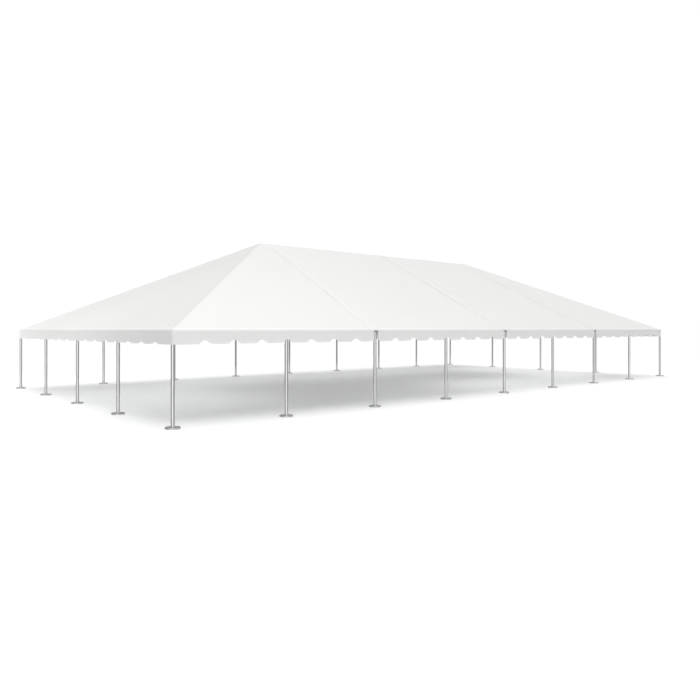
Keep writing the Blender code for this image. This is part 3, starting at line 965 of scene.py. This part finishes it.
def plateGrid():
    # a round plate, rows from under its middle round the rim and over its top to the middle again; each
    # hole's square of the grid is drawn to a circle and let down to the floor
    s = legShape
    steps = np.array([-2.0, -1.6, -1.25, -1.0, -0.9, -0.45, 0.0, 0.45, 0.9, 1.0, 1.25, 1.6, 2.0])
    quarter = np.pi / 2
    holeAngles = quarter * (np.arange(4) + 0.5)
    near = (holeAngles[:, None] + steps * s["hole"] / s["holeRing"]).ravel()
    between = (holeAngles[:, None] + np.linspace(s["holeClear"], quarter - s["holeClear"], 9)).ravel()
    angle = np.sort(np.mod(np.concatenate([near, between]), 2 * np.pi))
    bevel = s["underEdge"]
    side = [(0.0, 0.0), (0.08, 0.0), (s["plate"] - bevel, 0.0), (s["plate"], bevel)]
    side += [(s["plate"] - inset, s["rim"] - drop) for inset, drop in s["rimRound"]]
    overTop = np.concatenate([s["holeRing"] - steps * s["hole"], s["innerRadii"]])
    rise = np.minimum((side[-1][0] - overTop) / (side[-1][0] - s["collar"]), 1)
    sideRadii, sideHeights = np.array(side).T
    radii = np.concatenate([sideRadii, overTop])
    height = np.concatenate([sideHeights, s["rim"] + (s["crown"] - s["rim"]) * rise])
    r, a = np.meshgrid(radii, angle, indexing="ij")
    z = np.repeat(height[:, None], len(angle), axis=1)
    away = np.mod(a, quarter) - quarter / 2
    p, q = (r - s["holeRing"]) / s["hole"], away * s["holeRing"] / s["hole"]
    square, true = np.maximum(np.abs(p), np.abs(q)), np.maximum(np.hypot(p, q), 1e-9)
    onTop = np.arange(len(radii))[:, None] >= len(side)
    pull = 1 + np.clip(2 - square, 0, 1) * onTop * (square / true - 1)
    a = a + away * (pull - 1)
    r = np.where(onTop, s["holeRing"] + p * pull * s["hole"], r)
    z = np.where(onTop & (square < 0.95), s["holeFloor"], z)
    return roundGrid(np.stack([r * np.cos(a), r * np.sin(a), z], -1), np.linspace(0, 0.3, len(radii)))


def makeLegs():
    s, plate = legShape, plateGrid()
    top, lip, bore, radius = tent["legTop"], s["lip"], s["bore"], s["radius"]
    floor = top - s["boreDepth"]
    column = [(s["foot"], 0), (s["foot"], radius), (0.5, radius), (1.2, radius), (top - lip, radius),
              (top, radius - lip), (top, bore), (floor, bore), (floor, 0)]
    # the collar flares down to the plate in a quarter round
    quarter = np.linspace(0, np.pi / 2, 9)
    flare = np.column_stack([s["crown"] - 0.001 + s["flare"] * (1 - np.cos(quarter)),
                             s["collar"] + s["flare"] * (1 - np.sin(quarter))])
    low, high, inner = s["crown"] - 0.004, s["collarTop"], radius + s["collarGap"]
    cut, depth = s["collarChamfer"], s["collarDepth"]
    collar = [(low, 0), (low, s["collar"] + s["flare"]), *flare.tolist(), (high - cut, s["collar"]),
              (high, s["collar"] - cut), (high, inner), (high - depth, inner), (high - depth, 0)]
    turn = np.linspace(0, 2 * np.pi, s["sides"], endpoint=False)
    out = np.column_stack([np.cos(turn), np.sin(turn), 0 * turn])
    places = [(f"{side}Leg{n}", point(x, sign * widthHalf, 0), point(0, -sign, 0))
              for side, sign in sides.items() for n, x in enumerate(longLegs, 1)]
    places += [(f"{end}Leg{n}", point(sign * lengthHalf, y, 0), point(-sign, 0, 0))
               for end, sign in ends.items() for n, y in enumerate(shortLegs, 1)]
    for name, foot, inward in places:
        cast = mould(name)
        for profile in (column, collar):
            cast.add(**turned(foot, up, profile, s["sides"]), finish=0)
        cast.add(**dict(plate, grid=plate["grid"] + foot), finish=1)
        cast.add(**bead(foot + out * radius + up * (high - 0.0005), out, s["weld"]), finish=1)
        hexBolt(cast, foot + inward * (radius - boltShape["sunk"]) + up * (top - s["boltDown"]), inward)
        cast.make([legMetal, plateMetal, boltMetal], "leg_tube")


makeLegs()
tell("legs")


# Floor, light and camera

roomShape = {"floor": 220.0, "drop": 0.0005, "white": (0.925, 0.928, 0.936, 1)}
cardShape = {
    "across": (-6.1, 0.0, 6.1),           # where they stand along the tent
    "halfWidth": 5.4,
    "halfLength": 11.4,                   # of the one down the middle
    "height": 2.6,
    "grey": (0.40, 0.40, 0.40, 1),
}


def addFlat(cast, x, y, z):
    # a flat grid of three coordinates, each an array or the same everywhere
    grid = np.stack(np.broadcast_arrays(x, y, z), -1)
    cast.add(grid, grid[..., :2])


def makeStage(cast, material):
    # a piece of the studio, which rides on no body
    made = cast.make([material], outward=False, extra=True)
    del made["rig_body"]
    made.parent = None
    return made


def makeFloor():
    cast, reach = mould("floor"), roomShape["floor"]
    marks = np.linspace(-reach, reach, 12)
    addFlat(cast, *np.meshgrid(marks, marks), -roomShape["drop"])
    paper, w = newMaterial("palePaper")
    closeMaterial(w, w.node("ShaderNodeBsdfDiffuse", None, {"Color": roomShape["white"]}))
    makeStage(cast, paper).visible_glossy = False


def makeCards():
    # dark upright cards that only reflections see, so the metal shows the dim space under the roof
    s = cardShape
    cast, both = mould("reflectionCards"), np.array([-1.0, 1.0])
    for x in s["across"]:
        addFlat(cast, x, *np.meshgrid(both * s["halfWidth"], [0.0, s["height"]]))
    x, z = np.meshgrid(both * s["halfLength"], [0.0, s["height"]])
    addFlat(cast, x, 0.0, z)
    dim, w = newMaterial("dimCard")
    dim.cycles.emission_sampling = "NONE"
    closeMaterial(w, w.node("ShaderNodeEmission", None, {"Color": s["grey"]}))
    cards = makeStage(cast, dim)
    cards.visible_camera = cards.visible_diffuse = cards.visible_transmission = cards.visible_shadow = False


lightLook = {
    "haze": 0.26,                         # the same from all of the sky
    "sky": [                              # its lobes: axis, where each starts and is full, strength
        ((0.0, 0.0, 1.0), (0.55, 1.0), 1.20),
        ((0.55, 0.0, 0.835), (0.0, 0.95), 0.43),
        ((0.601, -0.401, 0.691), (0.5, 1.0), 0.34),
    ],
    "seen": 1.02,                         # the plain white that the camera sees behind the tent
    "room": 0.43, "window": 1.04,         # what metal reflects low down
    "windowAxis": (0.60, 0.80, 0.0), "windowEdge": (0.76, 0.96),
    "roomTop": (0.42, 0.22),              # the height of a reflected ray above which it sees the sky again
    "lamps": {                            # place, what it points at, size and watts
        "highLamp": ((-14, -13, 15), (-8, -4, 2), (8, 8), 430),
        "endLamp": ((-17.5, 9, 4.4), (-11.5, 4, 2.2), (5, 3), 198),
        "eaveLamp": ((-16, 0, 4.5), (-11.8, 1, 2.2), (3, 3), 39),
        "endFill": ((-11.2, 0, 2.25), (-11.2, 0.001, 0), (1.2, 10), 23),
        "leftFill": ((-8.8, 0, 2.7), (-8.8, 0.001, 0), (3, 7), 37),
        "frontFill": ((0, -4.5, 2.3), (0, -4.499, 0), (10, 1.5), 18),
        "middleFill": ((0, 0, 4.0), (0, 0.001, 0), (10, 2), 16),
        "backFill": ((0, 4.1, 2.35), (0, 4.101, 0), (17, 2.5), 69),
        "rightFill": ((5, -3.7, 2.5), (5, -3.699, 0), (9, 2.4), 48),
        "farFill": ((10, 0, 2.3), (10, 0.001, 0), (2.4, 8), 46),
    },
}


def makeLight():
    scene.world, w = cleared(bpy.data.worlds.new("studio"))
    way = w.node("ShaderNodeTexCoord", out="Generated")

    def towards(axis):
        return w.node("ShaderNodeVectorMath", {"operation": "DOT_PRODUCT"}, {0: way, 1: axis}, out="Value")

    sky = lightLook["haze"]
    for axis, span, strength in lightLook["sky"]:
        sky = towards(axis).eased(*span) * strength + sky
    # what shines back in metal low down: a dim room with two tall soft windows across from each other
    window = towards(lightLook["windowAxis"]).maths("ABSOLUTE").eased(*lightLook["windowEdge"])
    window = window * lightLook["window"] + lightLook["room"]
    low = way.part(2).eased(*lightLook["roomTop"])
    room = low * window + (1.0 - low) * sky
    shining = w.node("ShaderNodeLightPath", out="Is Glossy Ray")
    dome = w.node("ShaderNodeBackground", None, {
        "Color": (1, 1, 1, 1), "Strength": shining * room + (1.0 - shining) * sky})
    plain = w.node("ShaderNodeBackground", None, {"Color": (1, 1, 1, 1), "Strength": lightLook["seen"]})
    seen = w.node("ShaderNodeLightPath", out="Is Camera Ray")
    mixed = w.node("ShaderNodeMixShader", None, {0: seen, 1: dome, 2: plain})
    closeMaterial(w, mixed, "ShaderNodeOutputWorld")
    for name, (place, target, size, watts) in lightLook["lamps"].items():
        lamp = bpy.data.lights.new(name, "AREA")
        lamp.shape, lamp.size, lamp.size_y, lamp.energy = "RECTANGLE", *size, watts
        turn = (Vector(target) - Vector(place)).to_track_quat("-Z", "Y").to_euler()
        made = placed(name, lamp, place, turn)
        made.visible_camera = made.visible_glossy = False


cameraFit = {
    "place": (-18.434, -18.742, 2.154),
    "turn": 39.46,
    "focus": 633.8 / 700,                 # of the picture's width
    "sensor": 36,
    "shift": (0.0410, -0.0297),
}


def makeCamera():
    lens = bpy.data.cameras.new("camera")
    lens.sensor_width, lens.lens = cameraFit["sensor"], cameraFit["focus"] * cameraFit["sensor"]
    lens.shift_x, lens.shift_y = cameraFit["shift"]
    lens.clip_start, lens.clip_end = 0.1, 900
    turn = math.radians(90), 0, math.radians(-cameraFit["turn"])
    scene.camera = placed("camera", lens, cameraFit["place"], turn)


makeFloor()
makeCards()
makeLight()
makeCamera()
scene.view_settings.view_transform = "Standard"
tell("floor, light and camera")
